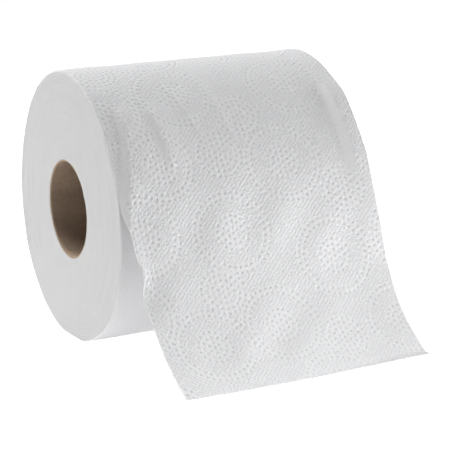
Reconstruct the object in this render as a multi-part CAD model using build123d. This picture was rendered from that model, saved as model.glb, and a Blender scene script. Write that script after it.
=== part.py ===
from build123d import *
from math import cos, radians, sin
import os

# Sizes are in millimetres and degrees. X runs along the core, -Y is the front with the loose end, +Z is up.
# Angles turn in the YZ plane from +Y at the rear, up through +Z and down the front.
SHEET_WIDTH = 101.6  # width of the web, and so the length of the roll
ROLL_RADIUS = 51.5  # mean, over the outermost turn
CORE_OUTER_RADIUS = 19.0
CORE_WALL = 0.6
SHEET_CALIPER = 0.4  # the embossed web
LIFT_ANGLE = 138.0  # where the outermost turn leaves the roll
LIFT_GAP = 0.3  # air under the web where it leaves the roll
FLAT_WIDTH = 16.0  # flat spot under the resting roll

# A soft roll is a little out of round: the number of lobes, their height and the angle of one peak.
LOBES = ((2, 0.93, 111.4), (3, 0.78, 84.1))

# The loose end at each edge of the web: how far the tip lies in front of the axis, the slope of the tip,
# and the lengths over which the root and the tip hold their direction.
LEFT_EDGE = {"x": -SHEET_WIDTH / 2, "reach": 103.3, "slope": 26.0, "root_hold": 33.5, "tip_hold": 49.5}
RIGHT_EDGE = {"x": SHEET_WIDTH / 2, "reach": 91.7, "slope": 31.0, "root_hold": 54.0, "tip_hold": 45.5}

# The turns show on the cut ends as one fine spiral line from near the core to near the rim.
TURN_LINES = 5
TURN_LINE_WIDTH = 0.5
TURN_LINE_DEPTH = 0.25
TURN_LINE_MARGIN = 3.0  # from the core and from the rim

OUTLINE_ARCS = 16


def mean_radius(angle):
    return ROLL_RADIUS + sum(height * cos(radians(n * (angle - peak))) for n, height, peak in LOBES)


def radius_slope(angle):
    return sum(-n * height * sin(radians(n * (angle - peak))) for n, height, peak in LOBES)


def polar(x, radius, angle):
    return Vector(x, radius * cos(radians(angle)), radius * sin(radians(angle)))


def turn_radius(angle):
    # One turn of the spiral: a caliper and the air gap lower under the loose end than at its root.
    left_to_wind = (LIFT_ANGLE + 360 - angle) / 360
    return mean_radius(angle) - (SHEET_CALIPER + LIFT_GAP) * left_to_wind


def turn_direction(angle):
    along = polar(0, mean_radius(angle), angle + 90)
    return (along + polar(0, radius_slope(angle), angle)).normalized()


bottom_radius = turn_radius(270)
floor_z = FLAT_WIDTH**2 / (8 * bottom_radius) - bottom_radius


def wound_body():
    # The outline runs once round the roll in arcs, and a small step closes it under the loose end.
    angles = [LIFT_ANGLE + 180 * i / OUTLINE_ARCS for i in range(2 * OUTLINE_ARCS + 1)]
    points = [polar(-SHEET_WIDTH / 2, turn_radius(a), a) for a in angles]
    arcs = [ThreePointArc(*points[i : i + 3]) for i in range(0, 2 * OUTLINE_ARCS, 2)]
    outline = make_face([*arcs, Line(points[-1], points[0])])
    return extrude(outline, amount=SHEET_WIDTH, dir=(1, 0, 0))


def tail_outline(edge):
    slope = radians(edge["slope"])
    tip_direction = Vector(0, -cos(slope), -sin(slope))
    tip_inward = Vector(0, sin(slope), -cos(slope))
    root_direction = turn_direction(LIFT_ANGLE)
    outer_root = polar(edge["x"], mean_radius(LIFT_ANGLE), LIFT_ANGLE)
    inner_root = polar(edge["x"], mean_radius(LIFT_ANGLE) - SHEET_CALIPER, LIFT_ANGLE)
    inner_tip = Vector(edge["x"], -edge["reach"], floor_z)
    outer_tip = inner_tip - tip_inward * SHEET_CALIPER
    sides = []
    for root, tip in ((outer_root, outer_tip), (inner_root, inner_tip)):
        root_hold = root + root_direction * edge["root_hold"]
        tip_hold = tip - tip_direction * edge["tip_hold"]
        sides.append(Bezier(root, root_hold, tip_hold, tip))
    return make_face([sides[0], Line(outer_tip, inner_tip), sides[1], Line(inner_root, outer_root)])


def spiral(x, start_radius, pitch):
    # Half circles about two centres by turns, each larger by half a pitch than the one before.
    arcs = []
    for half_turn in range(2 * TURN_LINES):
        side = 1 - 2 * (half_turn % 2)
        start = start_radius + half_turn * pitch / 2
        end = start + pitch / 2
        middle = Vector(x, -side * pitch / 4, side * (start + end) / 2)
        arcs.append(ThreePointArc((x, side * start, 0), middle, (x, -side * end, 0)))
    return arcs


def turn_line(x, inward):
    first = CORE_OUTER_RADIUS + TURN_LINE_MARGIN
    last = ROLL_RADIUS - TURN_LINE_MARGIN - TURN_LINE_WIDTH
    pitch = (last - first) / TURN_LINES
    inner = spiral(x, first, pitch)
    outer = spiral(x, first + TURN_LINE_WIDTH, pitch)
    start = Line(inner[0] @ 0, outer[0] @ 0)
    end = Line(inner[-1] @ 1, outer[-1] @ 1)
    return extrude(make_face([*inner, *outer, start, end]), amount=TURN_LINE_DEPTH, dir=(inward, 0, 0))


def paper_roll():
    tail = loft([tail_outline(LEFT_EDGE), tail_outline(RIGHT_EDGE)], ruled=True)
    paper = wound_body() + tail
    below_floor = Pos(0, 0, floor_z) * Box(
        2 * SHEET_WIDTH, 4 * FLAT_WIDTH, FLAT_WIDTH, align=(Align.CENTER, Align.CENTER, Align.MAX)
    )
    core_hole = Rot(0, 90, 0) * Cylinder(CORE_OUTER_RADIUS, 2 * SHEET_WIDTH)
    paper = paper - below_floor - core_hole
    return paper - turn_line(LEFT_EDGE["x"], 1) - turn_line(RIGHT_EDGE["x"], -1)


def core_tube():
    wall = Rot(0, 90, 0) * Cylinder(CORE_OUTER_RADIUS, SHEET_WIDTH)
    bore = Rot(0, 90, 0) * Cylinder(CORE_OUTER_RADIUS - CORE_WALL, 2 * SHEET_WIDTH)
    return wall - bore


os.makedirs("parts", exist_ok=True)
for node, shape in (("core_tube", core_tube()), ("paper_roll", paper_roll())):
    export_step(shape, f"parts/{node}.step")
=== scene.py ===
import logging
import math
from dataclasses import dataclass, field
from enum import Enum
from typing import Any, Mapping, Optional

import bpy
import numpy as np
from mathutils import Matrix, Vector


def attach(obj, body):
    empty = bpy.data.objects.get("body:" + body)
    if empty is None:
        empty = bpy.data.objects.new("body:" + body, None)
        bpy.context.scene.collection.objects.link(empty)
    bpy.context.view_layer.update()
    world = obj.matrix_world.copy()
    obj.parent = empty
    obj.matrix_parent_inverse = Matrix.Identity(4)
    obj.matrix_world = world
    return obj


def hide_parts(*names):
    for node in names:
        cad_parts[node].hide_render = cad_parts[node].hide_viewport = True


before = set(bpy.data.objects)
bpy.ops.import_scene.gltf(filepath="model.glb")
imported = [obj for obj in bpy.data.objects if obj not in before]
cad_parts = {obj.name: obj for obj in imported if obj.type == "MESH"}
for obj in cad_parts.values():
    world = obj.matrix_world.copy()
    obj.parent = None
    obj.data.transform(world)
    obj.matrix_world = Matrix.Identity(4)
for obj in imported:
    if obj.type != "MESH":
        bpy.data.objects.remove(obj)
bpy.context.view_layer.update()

Array = np.ndarray
Pair = tuple[float, float]
LOG = logging.getLogger("toilet_roll")
MM = 0.001
ROOT = "root"
TURN = 360.0
DOWN = 270.0
WHITE = (1.0, 1.0, 1.0, 1.0)
# Sockets of a colour mix: the share, the colour under, the colour over and the result.
SHARE, UNDER, OVER, MIXED = 0, 6, 7, 2
# Sockets of a map range: what 0 and 1 are turned into.
AT_ZERO, AT_ONE = 3, 4


class MedallionSize(Enum):
    """Steps from the centre of an embossed medallion to its outer ring of dots."""

    LARGE = 7
    MEDIUM = 6
    SMALL = 4


def linear(colour: str) -> tuple[float, float, float, float]:
    """Turns an sRGB hex colour into linear red, green, blue and alpha.

    Args:
        colour: six hex digits after a hash sign.

    Returns:
        The linear colour with an alpha of one.
    """
    parts = np.array([int(colour[i : i + 2], 16) for i in (1, 3, 5)]) / 255
    low, high = parts / 12.92, ((parts + 0.055) / 1.055) ** 2.4
    red, green, blue = np.where(parts <= 0.04045, low, high)
    return float(red), float(green), float(blue), 1.0


def emptied_tree(owner: Any) -> bpy.types.NodeTree:
    """Turns on the nodes of a material or a world and clears them.

    Args:
        owner: the material or world.

    Returns:
        Its node tree, empty.
    """
    owner.use_nodes = True
    owner.node_tree.nodes.clear()
    return owner.node_tree


def add_node(
    tree: bpy.types.NodeTree,
    kind: str,
    inputs: Optional[Mapping[Any, Any]] = None,
    **settings: Any,
) -> bpy.types.Node:
    """Adds one node with its settings, constants and links.

    Args:
        tree: the node tree that gets it.
        kind: the node's type name.
        inputs: socket name or number to a value, or to the socket or node that feeds it.
        settings: the node's own properties.

    Returns:
        The new node.
    """
    node = tree.nodes.new(kind)
    for name, value in settings.items():
        setattr(node, name, value)
    for key, value in (inputs or {}).items():
        if isinstance(value, bpy.types.Node):
            value = value.outputs[0]
        if isinstance(value, bpy.types.NodeSocket):
            tree.links.new(value, node.inputs[key])
        else:
            node.inputs[key].default_value = value
    return node


def ripple(
    a: Array, b: Array, size: float, seed: int, waves: int = 7, lengths: Pair = (0.7, 1.5)
) -> Array:
    """A smooth random height in about -1 to 1 over two coordinates.

    It is a sum of sine waves of about one length, in directions and phases drawn from a seed.

    Args:
        a: first coordinate.
        b: second coordinate.
        size: mean wave length, in the units of a and b.
        seed: seed of the draw.
        waves: how many waves are added.
        lengths: least and greatest wave length, as shares of the size.

    Returns:
        The height at each point.
    """
    draw = np.random.default_rng(seed)
    heading = draw.uniform(0, 2 * np.pi, waves)
    number = 2 * np.pi / (size * draw.uniform(*lengths, waves))
    phase = draw.uniform(0, 2 * np.pi, waves)
    total = np.zeros(np.broadcast(a, b).shape)
    for h, k, p in zip(heading, number, phase):
        total += np.sin(k * (a * np.cos(h) + b * np.sin(h)) + p)
    return total / math.sqrt(2.0 * waves)


def smooth_step(value: Array, low: float, high: float) -> Array:
    """Rises from 0 at low to 1 at high on a cubic with level ends."""
    t = np.clip((value - low) / (high - low), 0, 1)
    return t * t * (3 - 2 * t)


@dataclass(frozen=True)
class Waves:
    """Smooth random waves: their height, their mean length and the seed of their draw."""

    height: float
    size: float
    seed: int

    def over(self, a: Array, b: Array) -> Array:
        """Heights over two coordinates, in whose units the length is."""
        return self.height * ripple(a, b, self.size, self.seed)


@dataclass
class Surface:
    """Points in millimetres, faces and maps of one piece, before it is a mesh."""

    points: Array
    quads: Array
    triangles: Array = field(default_factory=lambda: np.zeros((0, 3), int))
    maps: dict[str, Array] = field(default_factory=dict)
    fields: dict[str, Array] = field(default_factory=dict)
    masks: dict[str, Array] = field(default_factory=dict)

    def corners(self) -> Array:
        """The point number at each face corner, quads first."""
        return np.concatenate([self.quads.ravel(), self.triangles.ravel()])

    def first_corners(self) -> Array:
        """For each face corner, the point number at its face's first corner."""
        return np.concatenate([np.repeat(self.quads[:, 0], 4), np.repeat(self.triangles[:, 0], 3)])

    def volume(self) -> float:
        """Signed volume: the sum over triangles of a · (b × c) / 6, negative when inside out."""
        halves = [self.quads[:, [0, 1, 2]], self.quads[:, [0, 2, 3]], self.triangles]
        return float(np.linalg.det(self.points[np.concatenate(halves)]).sum() / 6)

    def turned_out(self) -> "Surface":
        """Turns the faces outwards, judged by the signed volume.

        Returns:
            The same surface.
        """
        if self.volume() < 0:
            self.quads = self.quads[:, ::-1]
            self.triangles = self.triangles[:, ::-1]
        return self

    def to_object(self, name: str, material: bpy.types.Material, crease: float) -> bpy.types.Object:
        """Makes the mesh and its object at the origin, in metres.

        Args:
            name: the piece's name.
            material: the finish on all its faces.
            crease: edges that bend by more than this many degrees are drawn sharp.

        Returns:
            The linked object.
        """
        corners = self.corners()
        sizes = np.concatenate([np.full(len(self.quads), 4), np.full(len(self.triangles), 3)])
        mesh = bpy.data.meshes.new(name)
        mesh.vertices.add(len(self.points))
        mesh.vertices.foreach_set("co", (self.points * MM).astype(np.float32).ravel())
        mesh.loops.add(len(corners))
        mesh.loops.foreach_set("vertex_index", corners.astype(np.int32))
        mesh.polygons.add(len(sizes))
        mesh.polygons.foreach_set("loop_start", (np.cumsum(sizes) - sizes).astype(np.int32))
        mesh.update(calc_edges=True)
        for map_name, values in self.maps.items():
            layer = mesh.uv_layers.new(name=map_name, do_init=False)
            layer.uv.foreach_set("vector", values.astype(np.float32).ravel())
        for field_name, values in self.fields.items():
            vectors = mesh.attributes.new(field_name, "FLOAT_VECTOR", "CORNER")
            vectors.data.foreach_set("vector", values.astype(np.float32).ravel())
        for mask_name, values in self.masks.items():
            mask = mesh.attributes.new(mask_name, "FLOAT", "POINT")
            mask.data.foreach_set("value", values.astype(np.float32).ravel())
        mesh.polygons.foreach_set("use_smooth", np.ones(len(sizes), bool))
        mesh.set_sharp_from_angle(angle=math.radians(crease))
        mesh.materials.append(material)
        piece = bpy.data.objects.new(name, mesh)
        bpy.context.scene.collection.objects.link(piece)
        return piece


def ring_quads(turns: int, around: int) -> Array:
    """Quads of a grid that closes both ways, as on a torus.

    Args:
        turns: how many profiles there are round the axis.
        around: how many points each profile has.

    Returns:
        Four point numbers for each quad.
    """
    grid = np.arange(turns * around).reshape(turns, around)
    steps = ((0, 0), (-1, 0), (-1, -1), (0, -1))
    return np.stack([np.roll(grid, step, (0, 1)) for step in steps], -1).reshape(-1, 4)


def sheet_quads(rows: int, columns: int) -> Array:
    """Quads of an open grid of rows by columns of points, row by row."""
    grid = np.arange(rows * columns).reshape(rows, columns)
    return np.stack([grid[:-1, :-1], grid[1:, :-1], grid[1:, 1:], grid[:-1, 1:]], -1).reshape(-1, 4)


def border(rows: int, columns: int) -> Array:
    """Point numbers round the border of an open grid: down, across, up and back."""
    grid = np.arange(rows * columns).reshape(rows, columns)
    return np.concatenate([grid[:-1, 0], grid[-1, :-1], grid[:0:-1, -1], grid[0, :0:-1]])


@dataclass(frozen=True)
class TailEdge:
    """One side edge of the loose end, a cubic curve from the lift line to the tip."""

    reach: float
    slope: float
    root_hold: float
    tip_hold: float


@dataclass(frozen=True)
class RollForm:
    """The roll's section and the path of its web, in millimetres and degrees.

    The sizes are those of the solids. Loft is how far the soft, embossed face stands proud of them.
    Angles turn in the YZ plane from +Y at the rear, up through +Z and down the front. The loose sheet
    starts at the seam and leaves the roll at the lift line.
    """

    width: float = 101.6
    radius: float = 51.5
    core_radius: float = 19.0
    core_wall: float = 0.6
    caliper: float = 0.4
    seam_angle: float = 58.0
    lift_angle: float = 138.0
    lift_gap: float = 0.3
    flat_width: float = 16.0
    loft: float = 0.3
    tail_steps: int = 2001
    lobes: tuple[tuple[int, float, float], ...] = ((2, 0.93, 111.4), (3, 0.78, 84.1))
    left: TailEdge = TailEdge(103.3, 26.0, 33.5, 49.5)
    right: TailEdge = TailEdge(91.7, 31.0, 54.0, 45.5)

    def mean_radius(self, angle: Array) -> Array:
        """Radius of the soft, slightly lobed section: the mean plus a cosine for each lobe count."""
        lobes = [height * np.cos(np.radians(n * (angle - peak))) for n, height, peak in self.lobes]
        return self.radius + self.loft + sum(lobes)

    def turn_radius(self, angle: Array) -> Array:
        """Radius of the outermost turn, which rises by a caliper and the air gap in one turn."""
        left_to_wind = (self.lift_angle + TURN - angle) / TURN
        return self.mean_radius(angle) - (self.caliper + self.lift_gap) * left_to_wind

    @property
    def floor(self) -> float:
        """Height of the floor: a chord as wide as the flat, width² / (8 radius) above the foot."""
        bottom = float(self.turn_radius(np.array(DOWN))) - self.loft
        return self.flat_width**2 / (8 * bottom) - bottom

    def place(self, x: Array, radius: Array, angle: Array) -> Array:
        """Points at a radius and angle about the core, flattened where they would pass the floor."""
        y, z = radius * np.cos(np.radians(angle)), radius * np.sin(np.radians(angle))
        return np.stack(np.broadcast_arrays(x, y, np.maximum(z, self.floor)), -1)

    def tail_controls(self, edge: TailEdge) -> Array:
        """Leaves the roll along its own outline, and comes down to the floor at the edge's slope.

        Args:
            edge: one side edge of the loose end.

        Returns:
            The four control points (y, z) of its outer side.
        """
        angle, slope = math.radians(self.lift_angle), math.radians(edge.slope)
        radius = float(self.mean_radius(np.array(self.lift_angle)))
        # How fast the radius grows at the lift line, from a hundredth of a degree to each side.
        step = 0.01
        around = self.mean_radius(np.array([-step, step]) + self.lift_angle)
        rise = float(np.diff(around)[0]) / math.radians(2 * step)
        outwards = np.array([math.cos(angle), math.sin(angle)])
        along = np.array([-math.sin(angle), math.cos(angle)])
        leaving = radius * along + rise * outwards
        leaving /= np.linalg.norm(leaving)
        arriving = np.array([-math.cos(slope), -math.sin(slope)])
        upper = np.array([-math.sin(slope), math.cos(slope)])
        root = radius * outwards
        tip = np.array([-edge.reach, self.floor]) + self.caliper * upper
        return np.stack([root, root + edge.root_hold * leaving, tip - edge.tip_hold * arriving, tip])

    def tail(self, x: Array, t: Array) -> Array:
        """Outer side of the loose end: a cubic curve at each x, ruled between the two edges.

        Args:
            x: places across the web, one per column.
            t: curve parameter from 0 at the lift line to 1 at the tip, rows by columns.

        Returns:
            Points, rows by columns by three.
        """
        share = (x / self.width + 0.5)[:, None, None]
        controls = (1 - share) * self.tail_controls(self.left) + share * self.tail_controls(self.right)
        weights = np.stack([(1 - t) ** 3, 3 * t * (1 - t) ** 2, 3 * t**2 * (1 - t), t**3])
        yz = np.einsum("ktx,xkc->txc", weights, controls)
        return np.concatenate([np.broadcast_to(x[None, :, None], (*t.shape, 1)), yz], -1)

    def even_tail(self, rows: int) -> Array:
        """Divides the middle of the loose end into equal lengths.

        Args:
            rows: how many places there are from the lift line to the tip.

        Returns:
            Their curve parameters.
        """
        fine = np.linspace(0, 1, self.tail_steps)
        curve = self.tail(np.zeros(1), fine[:, None])[:, 0]
        run = np.concatenate([[0], np.cumsum(np.linalg.norm(np.diff(curve, axis=0), axis=1))])
        return np.interp(np.linspace(0, run[-1], rows), run, fine)


@dataclass(frozen=True)
class Emboss:
    """Dotted medallions pressed into the web.

    Web coordinates are x across and s along the web from the lift line, towards the tip, in millimetres.
    The rings of a medallion stand one step apart, and ring n has n times the dots of the first ring,
    so that all dots are about one step apart.
    """

    seed: int = 41
    half_width: float = 62.0
    first: float = -345.0
    last: float = 122.0
    tries: int = 2000
    closeness: float = 0.97
    ring_step: float = 2.15
    first_dots: int = 6
    inner_rings: int = 3
    rim_rings: int = 2
    dot_spread: float = 0.45
    dot_depth: float = 0.16

    def layout(self) -> Array:
        """Throws medallions one by one, large ones first, and keeps those that clear the ones before.

        Returns:
            Rows of x, s and radius.
        """
        draw = np.random.default_rng(self.seed)
        placed = np.zeros((0, 3))
        for size in MedallionSize:
            rim = size.value * self.ring_step
            for _ in range(self.tries):
                x = draw.uniform(-self.half_width, self.half_width)
                s = draw.uniform(self.first, self.last)
                apart = np.hypot(placed[:, 0] - x, placed[:, 1] - s)
                if (apart > self.closeness * (placed[:, 2] + rim)).all():
                    placed = np.vstack([placed, [x, s, rim]])
        return placed

    def nearest(self, x: Array, s: Array, medallions: Array) -> Array:
        """Number of the medallion whose rim is nearest to each point."""
        distance = np.hypot(x[:, None] - medallions[:, 0], s[:, None] - medallions[:, 1])
        return np.argmin(distance - medallions[:, 2], axis=1)

    def height(self, x: Array, s: Array) -> Array:
        """Height of the embossed web over its mean face.

        The dotted rings are the innermost ones with the centre, and the ones at the rim. With q half
        the squared distance in spreads from the nearest dot of its ring, a dot is a dimple with a low
        collar: minus the depth times exp(-q) times (1 - q / 2).

        Args:
            x: places across the web.
            s: places along the web.

        Returns:
            Heights in millimetres.
        """
        shape = x.shape
        x, s = x.ravel(), s.ravel()
        medallions = self.layout()
        own = medallions[self.nearest(x, s, medallions)]
        dx, ds, rim = x - own[:, 0], s - own[:, 1], own[:, 2]
        distance = np.hypot(dx, ds)
        ring = np.round(distance / self.ring_step)
        turned = np.arctan2(ds, dx) * self.first_dots * ring / (2 * np.pi) + 0.5 * (ring % 2)
        dot_pitch = 2 * np.pi * self.ring_step / self.first_dots
        along = (turned - np.round(turned)) * dot_pitch * np.minimum(ring, 1)
        across = distance - ring * self.ring_step
        q = (across**2 + along**2) / (2 * self.dot_spread**2)
        to_rim = np.round(rim / self.ring_step) - ring
        dotted = (to_rim >= 0) & ((to_rim < self.rim_rings) | (ring <= self.inner_rings))
        return (-self.dot_depth * np.exp(-q) * (1 - q / 2) * dotted).reshape(shape)

    def from_centres(self, surface: Surface, web: Array) -> Array:
        """Place of each face corner about the centre of a medallion, and that medallion's radius.

        All corners of a face count from the medallion nearest to its first corner, so the values never
        jump inside a face.

        Args:
            surface: the faces.
            web: x and s of each point.

        Returns:
            One (x, s, radius) row for each face corner, in millimetres.
        """
        medallions = self.layout()
        number = self.nearest(web[:, 0], web[:, 1], medallions)
        own = medallions[number[surface.first_corners()]]
        return np.concatenate([web[surface.corners()] - own[:, :2], own[:, 2:]], axis=1)


@dataclass(frozen=True)
class Fold:
    """A soft ridge along a line on the web. A pucker is one that moves the web sideways instead."""

    start: Pair
    end: Pair
    left_width: float
    right_width: float
    height: float
    run_out: float = 12.0

    def rise(self, x: Array, s: Array) -> Array:
        """Height at web points: a bell across the line, one width on each side, fading past its ends.

        Args:
            x: places across the web.
            s: places along the web.

        Returns:
            Heights in millimetres.
        """
        ax, a_s = self.start
        bx, bs = self.end
        length = math.hypot(bx - ax, bs - a_s)
        ux, us = (bx - ax) / length, (bs - a_s) / length
        along = (x - ax) * ux + (s - a_s) * us
        across = (x - ax) * us - (s - a_s) * ux
        width = np.where(across < 0, self.left_width, self.right_width)
        over = np.maximum(np.maximum(-along, along - length), 0)
        return self.height * np.exp(-((across / width) ** 2) - (over / self.run_out) ** 2)


@dataclass(frozen=True)
class Peel:
    """How the left margin of the sheet stays on the roll while the rest has already lifted off.

    Between margin and sheet runs a steep flank, with a ridge along its top. The ridge is a cubic through
    four places (s, x) on the web, and runs out over the side edge.
    """

    places: tuple[Pair, ...] = ((-12.0, -43.6), (8.0, -43.2), (22.0, -45.8), (38.0, -50.3))
    flank: Pair = (1.8, 5.2)
    opening: Pair = (-8.0, 18.0)
    bulge: float = 1.3
    spread: float = 22.0
    start: Pair = (-12.0, -2.0)
    end: Pair = (22.0, 42.0)
    ironing: float = 3.4

    def climb(self, x: Array, s: Array) -> Array:
        """How far up the flank the web is.

        Args:
            x: places across the web.
            s: places along the web.

        Returns:
            Shares, 0 on the margin and 1 from the ridge on.
        """
        along, across = np.transpose(self.places)
        ridge = np.polyval(np.polyfit(along, across, len(along) - 1), np.clip(s, along[0], along[-1]))
        ridge = ridge - np.maximum(s - along[-1], 0)
        flank = np.interp(s, self.opening, self.flank)
        return smooth_step((x - ridge) / flank, -1.0, 0.0)

    def rise(self, x: Array, s: Array) -> Array:
        """The slack sheet beside the ridge: up the flank, then falling slowly to the right.

        Args:
            x: places across the web.
            s: places along the web.

        Returns:
            Heights in millimetres.
        """
        side = -float(np.mean(self.places, axis=0)[1])
        fall = 1 - smooth_step(x + side, 0.0, self.spread)
        held = smooth_step(s, *self.start) * (1 - smooth_step(s, *self.end))
        return self.bulge * self.climb(x, s) * fall * held

    def ironed(self, x: Array, s: Array) -> Array:
        """Share of the emboss that is left: little halfway up the flank, where the web is taut."""
        climb = self.climb(x, s)
        return 1 - self.ironing * climb * (1 - climb) * smooth_step(s, *self.start)


@dataclass(frozen=True)
class CrepedTissue:
    """Soft two-ply creped tissue, steel-embossed: matt white with a fine dotted tooth."""

    emboss: Emboss
    name: str = "creped_tissue_embossed"
    colour: str = "#F0F0F1"
    # Painted shade: the colour that the dimples and the ground's hollows darken towards.
    painted_dimple_shade_colour: str = "#DFE0E3"
    # Painted highlight: a thin bright line along the slit rims and the sheet's side edges, where they
    # catch the light.
    painted_rim_highlight_colour: str = "#FAFAFA"
    cut_colour: str = "#EBEBEB"
    dot_depth: float = 0.17
    dot_unevenness: float = 1.2
    uneven_size: float = 7.0
    pebble_pitch: float = 1.3
    pebble_slant: float = 45.0
    pebble_jitter: float = 0.4
    pebble_spread: float = 0.27
    pebble_depth: float = 0.17
    pebble_shade: float = 0.6
    pebbles_on_rings: float = 0.35
    fibre_across: float = 0.5
    fibre_along: float = 0.9
    fibre_depth: float = 0.26
    turn_pitch: float = 0.95
    turn_depth: float = 0.035
    turn_wander: float = 9.0
    wander_size: float = 14.0
    roughness: float = 0.95
    specular: float = 0.2

    def material(self) -> bpy.types.Material:
        """Builds the finish.

        The eye sees bright matt paper with dotted medallions on a ground of finer dimples, fibres along
        the web, and the faint edges of the turns on the slit ends.

        Returns:
            The material.
        """
        material = bpy.data.materials.new(self.name)
        tree = emptied_tree(material)
        step, circle = self.emboss.ring_step, 2 * math.pi
        medallion = add_node(tree, "ShaderNodeAttribute", attribute_name="medallion")
        cut, relief, painted_rim_highlight = (
            add_node(tree, "ShaderNodeAttribute", attribute_name=mask).outputs["Fac"]
            for mask in ("cut", "relief", "painted_rim_highlight")
        )
        web = add_node(tree, "ShaderNodeUVMap", uv_map="web")
        place = add_node(tree, "ShaderNodeTexCoord").outputs["Object"]
        centred = add_node(tree, "ShaderNodeSeparateXYZ", {0: medallion.outputs["Vector"]})
        flat = add_node(tree, "ShaderNodeCombineXYZ", {0: centred.outputs[0], 1: centred.outputs[1]})
        # Single fibres are too fine to show, and are drawn as clumps of half a millimetre and more.
        grain = (1 / self.fibre_across, 1 / self.fibre_along, 1.0)
        stretched = add_node(tree, "ShaderNodeVectorMath", {0: web, 1: grain}, operation="MULTIPLY")
        fibres, slow, uneven = (
            add_node(tree, "ShaderNodeTexNoise", {"Vector": where, "Scale": scale, "Detail": detail})
            for where, scale, detail in (
                (stretched, 1.0, 2.0),
                (web, 1 / self.uneven_size, 1.0),
                (place, 1 / (self.wander_size * MM), 1.0),
            )
        )
        # The ground of the emboss stands in slanting rows, jittered a little.
        slant, pitch = math.radians(self.pebble_slant), self.pebble_pitch
        laid = {"Vector": web, "Rotation": (0.0, 0.0, slant), "Scale": (1 / pitch,) * 3}
        rows = add_node(tree, "ShaderNodeMapping", laid)
        cells = {"Vector": rows, "Scale": 1.0, "Randomness": self.pebble_jitter}
        pebbles = add_node(tree, "ShaderNodeTexVoronoi", cells, voronoi_dimensions="2D")
        apart = add_node(tree, "ShaderNodeSeparateXYZ", {0: place})
        on_end = add_node(tree, "ShaderNodeCombineXYZ", {1: apart.outputs[1], 2: apart.outputs[2]})
        distance, from_axis = (
            add_node(tree, "ShaderNodeVectorMath", {0: vector}, operation="LENGTH").outputs["Value"]
            for vector in (flat, on_end)
        )
        made: dict[str, Any] = dict(zip(("x", "s", "rim"), centred.outputs), cut=cut, relief=relief)
        made.update(distance=distance, from_axis=from_axis, from_pebble=pebbles)
        made.update(slow=slow, uneven=uneven, fibres=fibres)
        # Each row is a value's name, its sum and what goes into it. The rows up to dots are
        # Emboss.height again, finer than the mesh can carry it. The slit turns are drawn over twice
        # as coarse as the web is thick, so that they show.
        sums: tuple[tuple[Any, ...], ...] = (
            ("turn", "ARCTAN2", "s", "x"),
            ("steps", "DIVIDE", "distance", step),
            ("ring", "ROUND", "steps"),
            ("dots_per_radian", "MULTIPLY", "ring", self.emboss.first_dots / circle),
            ("odd", "MODULO", "ring", 2.0),
            ("half_dot", "MULTIPLY", "odd", 0.5),
            ("turned", "MULTIPLY_ADD", "turn", "dots_per_radian", "half_dot"),
            ("off_dot", "WRAP", "turned", 0.5, -0.5),
            ("not_centre", "MINIMUM", "ring", 1.0),
            ("dot_pitch", "MULTIPLY", "not_centre", circle * step / self.emboss.first_dots),
            ("along", "MULTIPLY", "off_dot", "dot_pitch"),
            ("ring_radius", "MULTIPLY", "ring", step),
            ("across", "SUBTRACT", "distance", "ring_radius"),
            ("across_squared", "MULTIPLY", "across", "across"),
            ("squared", "MULTIPLY_ADD", "along", "along", "across_squared"),
            ("minus_q", "MULTIPLY", "squared", -0.5 / self.emboss.dot_spread**2),
            ("bell", "EXPONENT", "minus_q"),
            ("collar", "MULTIPLY_ADD", "minus_q", 0.5, 1.0),
            ("dot", "MULTIPLY", "bell", "collar"),
            ("rim_ring", "DIVIDE", "rim", step),
            ("to_rim", "SUBTRACT", "rim_ring", "ring"),
            ("inside", "GREATER_THAN", "to_rim", -0.5),
            ("at_rim", "LESS_THAN", "to_rim", self.emboss.rim_rings - 0.5),
            ("at_centre", "LESS_THAN", "ring", self.emboss.inner_rings + 0.5),
            ("either", "MAXIMUM", "at_rim", "at_centre"),
            ("dotted", "MULTIPLY", "either", "inside"),
            ("pressed", "MULTIPLY_ADD", "slow", self.dot_unevenness, 1 - self.dot_unevenness / 2),
            ("pressed_dot", "MULTIPLY", "dot", "pressed"),
            ("dots", "MULTIPLY", "pressed_dot", "dotted"),
            ("pebble_squared", "MULTIPLY", "from_pebble", "from_pebble"),
            ("pebble_q", "MULTIPLY", "pebble_squared", -0.5 / self.pebble_spread**2),
            ("pebble", "EXPONENT", "pebble_q"),
            ("plain", "MULTIPLY_ADD", "dotted", self.pebbles_on_rings - 1, 1.0),
            ("ground", "MULTIPLY", "pebble", "plain"),
            ("fibre_height", "MULTIPLY", "fibres", self.fibre_depth),
            ("with_ground", "MULTIPLY_ADD", "ground", -self.pebble_depth, "fibre_height"),
            ("with_dots", "MULTIPLY_ADD", "dots", -self.dot_depth, "with_ground"),
            ("on_web", "MULTIPLY", "with_dots", "relief"),
            ("turn_phase", "MULTIPLY", "from_axis", circle / (self.turn_pitch * MM)),
            ("turn_wander", "MULTIPLY_ADD", "uneven", self.turn_wander, "turn_phase"),
            ("turn_wave", "SINE", "turn_wander"),
            ("turns", "MULTIPLY", "turn_wave", "cut"),
            ("height", "MULTIPLY_ADD", "turns", self.turn_depth, "on_web"),
            # Painted shade: dots and ground hollows darken the colour, for the shade held in the
            # dimples.
            ("cavities", "MULTIPLY_ADD", "ground", self.pebble_shade, "dots"),
            ("shade", "MULTIPLY", "cavities", "relief"),
        )
        for name, operation, *values in sums:
            inputs = {i: made[v] if isinstance(v, str) else v for i, v in enumerate(values)}
            made[name] = add_node(tree, "ShaderNodeMath", inputs, operation=operation)
        raised = {"Height": made["height"], "Distance": MM, "Strength": 1.0}
        bump = add_node(tree, "ShaderNodeBump", raised)
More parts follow.
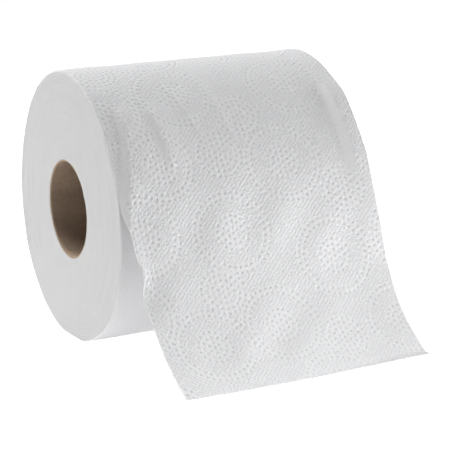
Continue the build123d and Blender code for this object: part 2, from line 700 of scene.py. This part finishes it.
        # Painted shade darkens the dimples, the slit ends are a little greyer than the face, and a
        # painted highlight runs along the slit rims as a thin bright line, where they catch the light.
        colour: Any = linear(self.colour)
        for share, other in (
            (made["shade"], self.painted_dimple_shade_colour),
            (cut, self.cut_colour),
            (painted_rim_highlight, self.painted_rim_highlight_colour),
        ):
            mixed = {SHARE: share, UNDER: colour, OVER: linear(other)}
            colour = add_node(tree, "ShaderNodeMix", mixed, data_type="RGBA").outputs[MIXED]
        matt = {"Roughness": self.roughness, "Specular IOR Level": self.specular}
        shader = add_node(
            tree, "ShaderNodeBsdfPrincipled", {"Base Color": colour, "Normal": bump, **matt}
        )
        add_node(tree, "ShaderNodeOutputMaterial", {"Surface": shader})
        return material


@dataclass(frozen=True)
class CoreBoard:
    """Recycled grey-brown board, spiral-wound and glued: matt, with flecks of fibre."""

    name: str = "recycled_core_board"
    light: str = "#AA9581"
    dark: str = "#8F7C6D"
    # Colour of the cut rims, also used for the pool of painted light low in the bore.
    edge: str = "#C4AE94"
    fleck_size: float = 0.8
    cloud_size: float = 7.0
    fleck_share: float = 0.6
    blend_range: Pair = (0.55, 1.05)
    fleck_depth: float = 0.08
    roughness: float = 0.85
    specular: float = 0.3

    def material(self) -> bpy.types.Material:
        """Builds the finish: the eye sees dull brown board, cloudy and flecked, paler on its cut rims
        and on a pool of painted light low in the bore.

        Returns:
            The material.
        """
        material = bpy.data.materials.new(self.name)
        tree = emptied_tree(material)
        place = add_node(tree, "ShaderNodeTexCoord").outputs["Object"]
        clouds, flecks = (
            add_node(tree, "ShaderNodeTexNoise", {"Vector": place, "Scale": scale, "Detail": detail})
            for scale, detail in ((1 / (self.cloud_size * MM), 4.0), (1 / (self.fleck_size * MM), 2.0))
        )
        blended = {0: flecks, 1: self.fleck_share, 2: clouds}
        blend = add_node(tree, "ShaderNodeMath", blended, operation="MULTIPLY_ADD")
        low, high = self.blend_range
        spread = add_node(tree, "ShaderNodeMapRange", {0: blend, 1: low, 2: high})
        cut = add_node(tree, "ShaderNodeAttribute", attribute_name="cut").outputs["Fac"]
        colour: Any = linear(self.dark)
        for share, other in ((spread, self.light), (cut, self.edge)):
            mixed = {SHARE: share, UNDER: colour, OVER: linear(other)}
            colour = add_node(tree, "ShaderNodeMix", mixed, data_type="RGBA").outputs[MIXED]
        bump = add_node(tree, "ShaderNodeBump", {"Height": flecks, "Distance": self.fleck_depth * MM})
        matt = {"Roughness": self.roughness, "Specular IOR Level": self.specular}
        shader = add_node(
            tree, "ShaderNodeBsdfPrincipled", {"Base Color": colour, "Normal": bump, **matt}
        )
        add_node(tree, "ShaderNodeOutputMaterial", {"Surface": shader})
        return material


@dataclass
class CoreTube:
    """The spiral-wound board tube: inner ply with a helical butt seam, and two cut rims."""

    form: RollForm
    finish: bpy.types.Material
    around: int = 180
    along: int = 120
    outside: int = 12
    end_inset: float = 0.1
    paper_gap: float = 0.03
    bevel: float = 0.12
    seam_pitch: float = 86.0
    seam_width: float = 0.55
    seam_depth: float = 0.12
    waves: Waves = Waves(0.05, 18.0, 5)
    scuff: float = 0.9
    # Painted light: a deeper pale patch at the bottom of the bore near each end, where light falls in
    # through the opening.
    painted_light_reach: float = 4.0
    painted_light_angle: float = 268.0
    painted_light_spread: float = 22.0
    painted_light_waves: Waves = Waves(0.3, 9.0, 6)
    crease: float = 40.0

    def build(self) -> bpy.types.Object:
        """Carries a closed wall profile round the axis and presses the seam into the inner ply.

        Returns:
            The tube, which stands for the node core_tube.
        """
        form = self.form
        half, bevel = form.width / 2 - self.end_inset, self.bevel
        inner, outer = form.core_radius - form.core_wall, form.core_radius - self.paper_gap
        x_in = -np.cos(np.linspace(0, np.pi, self.along)) * (half - bevel)
        x_out = np.linspace(half - bevel, -half + bevel, self.outside)
        x = np.concatenate([x_in, [half, half], x_out, [-half, -half]])
        rims = [inner + bevel, outer - bevel]
        walls = np.full(self.along, inner), np.full(self.outside, outer)
        radius = np.concatenate([walls[0], rims, walls[1], rims[::-1]])
        counts = (self.along, 2, self.outside, 2)
        is_inner, is_rim = (np.repeat(mask, counts) for mask in ((1.0, 0, 0, 0), (0, 1.0, 0, 1.0)))
        angle = (np.arange(self.around) * TURN / self.around)[:, None]
        advance = x - angle / TURN * self.seam_pitch
        off_seam = (advance + 0.5 * self.seam_pitch) % self.seam_pitch - 0.5 * self.seam_pitch
        groove = self.seam_depth * np.exp(-((off_seam / self.seam_width) ** 2)) * is_inner
        wave = self.waves.over(x, angle * inner * np.pi / 180) * is_inner
        points = form.place(x, radius + groove + wave, angle)
        surface = Surface(points.reshape(-1, 3), ring_quads(self.around, len(x)))
        # The rim colour covers a thin rubbed band inside each end and, as painted light, a deeper patch
        # at the bottom of the bore.
        painted_light_patch = self.painted_light_reach * np.exp(-(((angle - self.painted_light_angle) / self.painted_light_spread) ** 2))
        painted_light_patch = painted_light_patch * (1 + self.painted_light_waves.over(angle, x))
        rim_band_and_painted_light = 1 - smooth_step((half - np.abs(x)) / (self.scuff + painted_light_patch), 0.0, 1.0)
        surface.masks["cut"] = np.maximum(rim_band_and_painted_light * is_inner, is_rim).ravel()
        piece = surface.turned_out().to_object("core_tube_board", self.finish, self.crease)
        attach(piece, ROOT)
        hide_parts("core_tube")
        return piece


@dataclass
class WoundTurns:
    """The wound part of the web: embossed outer turn, soft rims and slit ends with their turns."""

    form: RollForm
    emboss: Emboss
    finish: bpy.types.Material
    bare_columns: int = 420
    covered_columns: int = 36
    across: int = 150
    end_rings: int = 22
    rim_round: float = 0.45
    rim_steps: int = 4
    under_sheet: float = 0.05
    seam_step: float = 0.03
    front_emboss: float = 0.25
    front_fade: Pair = (215.0, 300.0)
    cockle: Waves = Waves(0.10, 24.0, 11)
    end_waves: Waves = Waves(0.10, 7.0, 21)
    end_wave_pace: float = 0.35
    end_grain: Waves = Waves(0.12, 4.0, 22)
    crease: float = 60.0

    def profile(self) -> dict[str, Array]:
        """The closed profile carried round the axis: outer face, right end, hole and left end.

        Returns:
            x, share of the radius from hole to rim, drop at the rounded rim, and cut, 1 on the ends.
        """
        half, soft = self.form.width / 2, self.rim_round
        turn = np.linspace(0, np.pi / 2, self.rim_steps + 1)[1:]
        face = np.linspace(-half + soft, half - soft, self.across)
        rim_x, rim_drop = half - soft + soft * np.sin(turn), soft * (1 - np.cos(turn))
        ring = np.linspace(1, 0, self.end_rings + 2)[1:]
        x = [-rim_x[::-1], face, rim_x, np.full(len(ring), half), -np.full(len(ring), half)]
        share = [np.ones(self.across + 2 * self.rim_steps), ring, ring[::-1]]
        drop = [rim_drop[::-1], np.zeros(self.across), rim_drop, np.zeros(2 * len(ring))]
        cut = [(turn / turn[-1])[::-1], np.zeros(self.across), turn / turn[-1], np.ones(2 * len(ring))]
        return {key: np.concatenate(v) for key, v in dict(x=x, share=share, drop=drop, cut=cut).items()}

    def build(self) -> bpy.types.Object:
        """Carries the profile round the spiral outline, with emboss, cockle and uneven ends.

        The emboss is fainter on the front, behind the loose end.

        Returns:
            The wound body, which stands for the node paper_roll.
        """
        form = self.form
        seam = form.seam_angle + TURN
        bare = np.linspace(form.lift_angle, seam, self.bare_columns)
        end = form.lift_angle + TURN
        covered = np.linspace(seam + self.seam_step, end, self.covered_columns + 2)[:-1]
        angle = np.concatenate([bare, covered])
        sunk = np.where(np.arange(len(angle)) < len(bare), 0.0, form.caliper + self.under_sheet)
        outer = form.turn_radius(angle) - sunk
        line = form.place(np.zeros(1), outer, angle)
        run = np.concatenate([[0], np.cumsum(np.linalg.norm(np.diff(line, axis=0), axis=1))])
        left_over = np.radians(end - angle[-1]) * outer[-1]
        along = run - run[-1] - left_over
        cut = self.profile()
        x, s = np.broadcast_arrays(cut["x"], along[:, None])
        on_face = (cut["share"] == 1) * (sunk == 0)[:, None] * (1 - cut["cut"])
        past_front = smooth_step(angle, *self.front_fade)
        pressed = self.front_emboss + (1 - self.front_emboss) * past_front
        relief = self.emboss.height(x, s) * on_face * pressed[:, None]
        relief = relief + self.cockle.over(x, s) * on_face
        rise = (outer - form.core_radius)[:, None] * cut["share"]
        radius = form.core_radius + rise - cut["drop"] + relief
        side = np.sign(cut["x"])
        uneven = self.end_waves.over(radius, angle[:, None] * self.end_wave_pace)
        uneven = uneven + self.end_grain.over(radius, x)
        points = form.place(x - side * cut["cut"] * uneven, radius, angle[:, None])
        surface = Surface(points.reshape(-1, 3), ring_quads(len(angle), len(cut["x"]))).turned_out()
        web = np.stack([x.ravel(), s.ravel()], -1)
        surface.maps["web"] = web[surface.corners()]
        surface.fields["medallion"] = self.emboss.from_centres(surface, web)
        surface.masks["cut"] = np.broadcast_to(cut["cut"], x.shape).ravel()
        # Painted highlight on the rounded rims, brightest halfway round them.
        surface.masks["painted_rim_highlight"] = np.broadcast_to(4 * cut["cut"] * (1 - cut["cut"]), x.shape).ravel()
        surface.masks["relief"] = (on_face * pressed[:, None]).ravel()
        piece = surface.to_object("wound_turns", self.finish, self.crease)
        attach(piece, ROOT)
        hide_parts("paper_roll")
        return piece


@dataclass
class LooseSheet:
    """The last of the web: over the top of the roll, off its front and down to the torn edge."""

    form: RollForm
    emboss: Emboss
    finish: bpy.types.Material
    roll_rows: int = 140
    tail_rows: int = 207
    columns: int = 201
    tear_pitch: float = 1.7
    tear_depth: float = 0.35
    tear_shift: Waves = Waves(0.15, 9.0, 31)
    tear_share: float = 0.7
    tear_waves: Waves = Waves(0.3, 5.0, 32)
    tail_length: float = 104.0
    trim: Pair = (-1.7, 2.5)
    rim_inset: float = 0.1
    rim_round: float = 0.55
    rim_places: tuple[float, ...] = (0.2, 0.4, 0.7)
    rim_opens: Pair = (2.0, 18.0)
    seam_run: float = 6.0
    inner_emboss: float = 0.6
    inner_relief: float = 0.7
    taut_slope: float = 0.35
    cockle: Waves = Waves(1.0, 21.0, 11)
    held_cockle: float = 0.12
    free_cockle: float = 0.38
    loosens: Pair = (-10.0, 60.0)
    settles: Pair = (84.0, 100.0)
    floor_gap: float = 0.02
    crease: float = 75.0
    peel: Peel = Peel()
    folds: tuple[Fold, ...] = (
        Fold((-29.8, -4.0), (-28.2, 13.0), 2.3, 7.0, 0.95, 5.0),
        Fold((-17.8, -11.0), (-15.5, -1.0), 1.2, 1.2, 0.20),
        Fold((-3.5, -9.0), (-2.0, 1.0), 1.2, 1.2, 0.20),
        Fold((45.6, -3.0), (46.2, 18.0), 3.2, 14.0, 2.3, 10.0),
    )
    ruffles: tuple[Fold, ...] = (
        Fold((-51.5, 43.0), (-51.5, 47.0), 4.5, 4.5, 1.4, 6.0),
        Fold((-51.5, 53.0), (-51.5, 54.5), 4.5, 4.5, 1.2, 4.0),
        Fold((-51.5, 60.0), (-51.5, 61.0), 4.0, 4.0, 0.4, 3.0),
    )
    puckers: tuple[Fold, ...] = (
        Fold((-50.8, 53.5), (-50.8, 56.5), 5.0, 5.0, 1.5, 3.5),
        Fold((-50.8, 38.0), (-50.8, 45.0), 5.0, 5.0, 0.5, 4.0),
    )

    def places_across(self) -> Array:
        """Spaces the columns evenly, with three more in each rounded rim.

        Returns:
            Places across the web, in order.
        """
        half = self.form.width / 2 - self.rim_inset
        close = half - self.rim_round * np.array(self.rim_places)
        return np.sort(np.concatenate([np.linspace(-half, half, self.columns), close, -close]))

    def path(self) -> Array:
        """Outer side of the plain sheet: round the roll from the seam, then along the loose end.

        Returns:
            Points, rows by columns by three.
        """
        form = self.form
        x = self.places_across()
        angle = np.linspace(form.seam_angle, form.lift_angle, self.roll_rows + 1)[:-1] + TURN
        on_roll = form.place(x, form.turn_radius(angle)[:, None], angle[:, None])
        teeth = np.abs((x / self.tear_pitch + self.tear_shift.over(x, 0 * x)) % 1 - 0.5)
        tear = self.tear_depth * (2 * teeth - 1) * (self.tear_share + self.tear_waves.over(x, 0 * x))
        # The torn edge isn't quite square to the web. It is shorter at the left, and longer at the
        # right, where it lies on the floor.
        tear = tear + np.interp(x, [x[0], x[-1]], self.trim)
        t = form.even_tail(self.tail_rows)[:, None] * (1 + tear / self.tail_length)
        tail = form.tail(x, t)
        tail[:, :, 2] = np.maximum(tail[:, :, 2], form.floor + form.caliper)
        return np.concatenate([on_roll, tail])

    def with_margin(self, path: Array, along: Array) -> Array:
        """The path with its left margin laid on round the roll, past the lift line.

        Args:
            path: points of the plain sheet.
            along: length along the web from the lift line at each point.

        Returns:
            Points between the margin's spiral and the plain sheet, by the share of the climb.
        """
        form = self.form
        past = np.degrees(np.maximum(along, 0) / form.mean_radius(np.array(form.lift_angle)))
        angle = form.lift_angle + TURN + past
        margin = form.place(path[:, :, 0], form.turn_radius(angle), angle)
        climb = np.where(along > 0, self.peel.climb(path[:, :, 0], along), 1.0)[..., None]
        return margin + climb * (path - margin)

    def build(self) -> bpy.types.Object:
        """Lays emboss, folds and cockle on the path, and closes the sheet with its own thickness.

        The outer face moves along the sheet's normal by the summed heights. The inner face is every
        second point, a caliper behind, and the border is stitched two edges to one.

        Returns:
            The sheet.
        """
        form = self.form
        path = self.path()
        rows, columns = path.shape[:2]
        step = np.linalg.norm(np.diff(path, axis=0), axis=2)
        along = np.concatenate([np.zeros((1, columns)), np.cumsum(step, axis=0)])
        along = along - along[self.roll_rows]
        x = path[:, :, 0].copy()
        path = self.with_margin(path, along)
        normal = np.cross(np.gradient(path, axis=0), np.gradient(path, axis=1))
        normal /= np.linalg.norm(normal, axis=2, keepdims=True)
        shape = sum(fold.rise(x, along) for fold in (self.peel, *self.folds, *self.ruffles))
        slope = sum(np.gradient(fold.rise(x, along), axis=1) for fold in self.folds)
        slope = slope / np.gradient(x, axis=1)
        ironed = self.peel.ironed(x, along) * np.exp(-((slope / self.taut_slope) ** 2))
        freedom = smooth_step(along, *self.loosens) * (1 - smooth_step(along, *self.settles))
        shape = shape + (self.held_cockle + self.free_cockle * freedom) * self.cockle.over(x, along)
        past_rim = np.maximum(np.abs(x) - form.width / 2 + self.rim_inset + self.rim_round, 0)
        rim_drop = self.rim_round - np.sqrt(np.maximum(self.rim_round**2 - past_rim**2, 0))
        shape = shape - rim_drop * (1 - smooth_step(along, *self.rim_opens))
        pressed = self.emboss.height(x, along) * ironed
        seam = along[0].max()
        shape = shape * smooth_step(along, seam, seam + self.seam_run)
        path[:, :, 0] += sum(pucker.rise(x, along) for pucker in self.puckers)
        outer = path + normal * (shape + pressed)[..., None]
        inner_shape = shape + self.inner_emboss * pressed - form.caliper
        inner = (path + normal * inner_shape[..., None])[::2, ::2]
        points = np.concatenate([outer.reshape(-1, 3), inner.reshape(-1, 3)])
        points[:, 2] = np.maximum(points[:, 2], form.floor + self.floor_gap)
        base = rows * columns
        few_rows, few_columns = inner.shape[:2]
        rim, rim_in = border(rows, columns), border(few_rows, few_columns) + base
        b0, b1, b2 = rim[0::2], rim[1::2], np.roll(rim, -2)[0::2]
        a0, a1 = rim_in, np.roll(rim_in, -1)
        stitches = [np.stack(v, -1) for v in ((b1, b0, a0), (b1, a0, a1), (b2, b1, a1))]
        inner_quads = sheet_quads(few_rows, few_columns)[:, ::-1] + base
        quads = np.concatenate([sheet_quads(rows, columns), inner_quads])
        surface = Surface(points, quads, np.concatenate(stitches)).turned_out()
        web = np.stack([x, along], -1)
        web = np.concatenate([web.reshape(-1, 2), web[::2, ::2].reshape(-1, 2)])
        surface.maps["web"] = web[surface.corners()]
        surface.fields["medallion"] = self.emboss.from_centres(surface, web)
        inner_relief = self.inner_relief * ironed[::2, ::2]
        surface.masks["relief"] = np.concatenate([ironed.ravel(), inner_relief.ravel()])
        surface.masks["cut"] = np.zeros(len(points))
        # Painted highlight along the sheet's side edges.
        surface.masks["painted_rim_highlight"] = smooth_step(np.abs(web[:, 0]), x.max() - self.rim_round, x.max())
        piece = surface.to_object("loose_sheet", self.finish, self.crease)
        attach(piece, ROOT)
        return piece


@dataclass(frozen=True)
class SoftBox:
    """A square soft light that faces the roll: its place and side in metres, and its power in watts."""

    name: str
    place: tuple[float, float, float]
    side: float
    power: float

    def build(self) -> None:
        """Adds the lamp, turned to face the roll."""
        lamp = bpy.data.lights.new(self.name, "AREA")
        lamp.shape, lamp.size, lamp.energy = "SQUARE", self.side, self.power
        stand = bpy.data.objects.new(self.name, lamp)
        stand.location = self.place
        stand.rotation_euler = (-Vector(self.place)).to_track_quat("-Z", "Y").to_euler()
        stand.visible_camera = False
        bpy.context.scene.collection.objects.link(stand)


@dataclass
class Studio:
    """Plain pale floor, white surround, soft lights and the camera."""

    form: RollForm
    boxes: tuple[SoftBox, ...] = (
        SoftBox("high_softbox", (-0.18, 0.49, 0.99), 0.9, 14.6),
        SoftBox("left_softbox", (-1.00, 0.00, 0.35), 0.9, 0.85),
        SoftBox("front_card", (0.02, -0.235, -0.02), 0.06, 0.128),
        SoftBox("right_card", (0.60, -0.26, 0.00), 0.25, 2.3),
    )
    ambient: float = 0.02
    floor_colour: str = "#F2F2F2"
    floor_glow: float = 0.85
    floor_bounce: float = 0.31
    floor_half: float = 3.0
    camera_place: tuple[float, float, float] = (-0.29070, -0.62047, 0.13188)
    camera_forward: tuple[float, float, float] = (0.43319, 0.87724, -0.20687)
    camera_roll: float = -1.908
    camera_lens: float = 141.87
    camera_sensor: float = 36.0
    camera_clip: Pair = (0.01, 20.0)

    def white_for_camera(self, tree: bpy.types.NodeTree) -> bpy.types.NodeSocket:
        """One for rays from the camera and for mirror and clear rays, which all see the white surround.

        Args:
            tree: the node tree that gets the nodes.

        Returns:
            The socket with the value.
        """
        path = add_node(tree, "ShaderNodeLightPath")
        seen = path.outputs["Is Camera Ray"]
        for ray in ("Is Glossy Ray", "Is Transmission Ray"):
            either = {0: seen, 1: path.outputs[ray]}
            seen = add_node(tree, "ShaderNodeMath", either, operation="MAXIMUM").outputs[0]
        return seen

    def surround(self) -> None:
        """White world: plain ambient light on the roll, pure white to the camera."""
        world = bpy.data.worlds.new("white_surround")
        tree = emptied_tree(world)
        seen = self.white_for_camera(tree)
        strength = add_node(tree, "ShaderNodeMapRange", {0: seen, AT_ZERO: self.ambient, AT_ONE: 1.0})
        light = add_node(tree, "ShaderNodeBackground", {0: WHITE, 1: strength})
        add_node(tree, "ShaderNodeOutputWorld", {0: light})
        bpy.context.scene.world = world

    def floor(self) -> None:
        """Matt floor at the resting height, lifted to white for the camera but keeping the shadow."""
        half, z = self.floor_half, self.form.floor * MM
        corners = [(-half, -half, z), (half, -half, z), (half, half, z), (-half, half, z)]
        mesh = bpy.data.meshes.new("floor")
        mesh.from_pydata(corners, [], [(0, 1, 2, 3)])
        material = bpy.data.materials.new("matt_white_board")
        tree = emptied_tree(material)
        seen = self.white_for_camera(tree)
        board = add_node(tree, "ShaderNodeBsdfDiffuse", {0: linear(self.floor_colour)})
        levels = {0: seen, AT_ZERO: self.floor_bounce, AT_ONE: self.floor_glow}
        strength = add_node(tree, "ShaderNodeMapRange", levels)
        glow = add_node(tree, "ShaderNodeEmission", {0: WHITE, 1: strength})
        both = add_node(tree, "ShaderNodeAddShader", {0: board, 1: glow})
        add_node(tree, "ShaderNodeOutputMaterial", {0: both})
        mesh.materials.append(material)
        floor = bpy.data.objects.new("floor", mesh)
        bpy.context.scene.collection.objects.link(floor)

    def camera(self) -> None:
        """Camera at the photograph's place, from its forward direction and its roll about it."""
        forward = Vector(self.camera_forward).normalized()
        level = forward.cross(Vector((0, 0, 1))).normalized()
        upright = level.cross(forward)
        roll = math.radians(self.camera_roll)
        right = level * math.cos(roll) + upright * math.sin(roll)
        up = right.cross(forward)
        data = bpy.data.cameras.new("camera")
        data.lens, data.sensor_width = self.camera_lens, self.camera_sensor
        data.sensor_fit = "HORIZONTAL"
        data.clip_start, data.clip_end = self.camera_clip
        camera = bpy.data.objects.new("camera", data)
        axes = Matrix((right, up, -forward)).transposed().to_4x4()
        camera.matrix_world = Matrix.Translation(self.camera_place) @ axes
        bpy.context.scene.collection.objects.link(camera)
        bpy.context.scene.camera = camera

    def build(self) -> None:
        """Sets up the whole studio."""
        bpy.context.scene.view_settings.view_transform = "Standard"
        self.surround()
        self.floor()
        self.camera()
        for box in self.boxes:
            box.build()


def main() -> None:
    """Builds the studio and the roll's pieces in order."""
    logging.basicConfig(level=logging.INFO, format="%(name)s: %(message)s")
    form, emboss = RollForm(), Emboss()
    Studio(form).build()
    tissue, board = CrepedTissue(emboss).material(), CoreBoard().material()
    for part in (
        CoreTube(form, board),
        WoundTurns(form, emboss, tissue),
        LooseSheet(form, emboss, tissue),
    ):
        piece = part.build()
        mesh = piece.data
        LOG.info("%s: %d points, %d faces", piece.name, len(mesh.vertices), len(mesh.polygons))


if __name__ == "__main__":
    main()
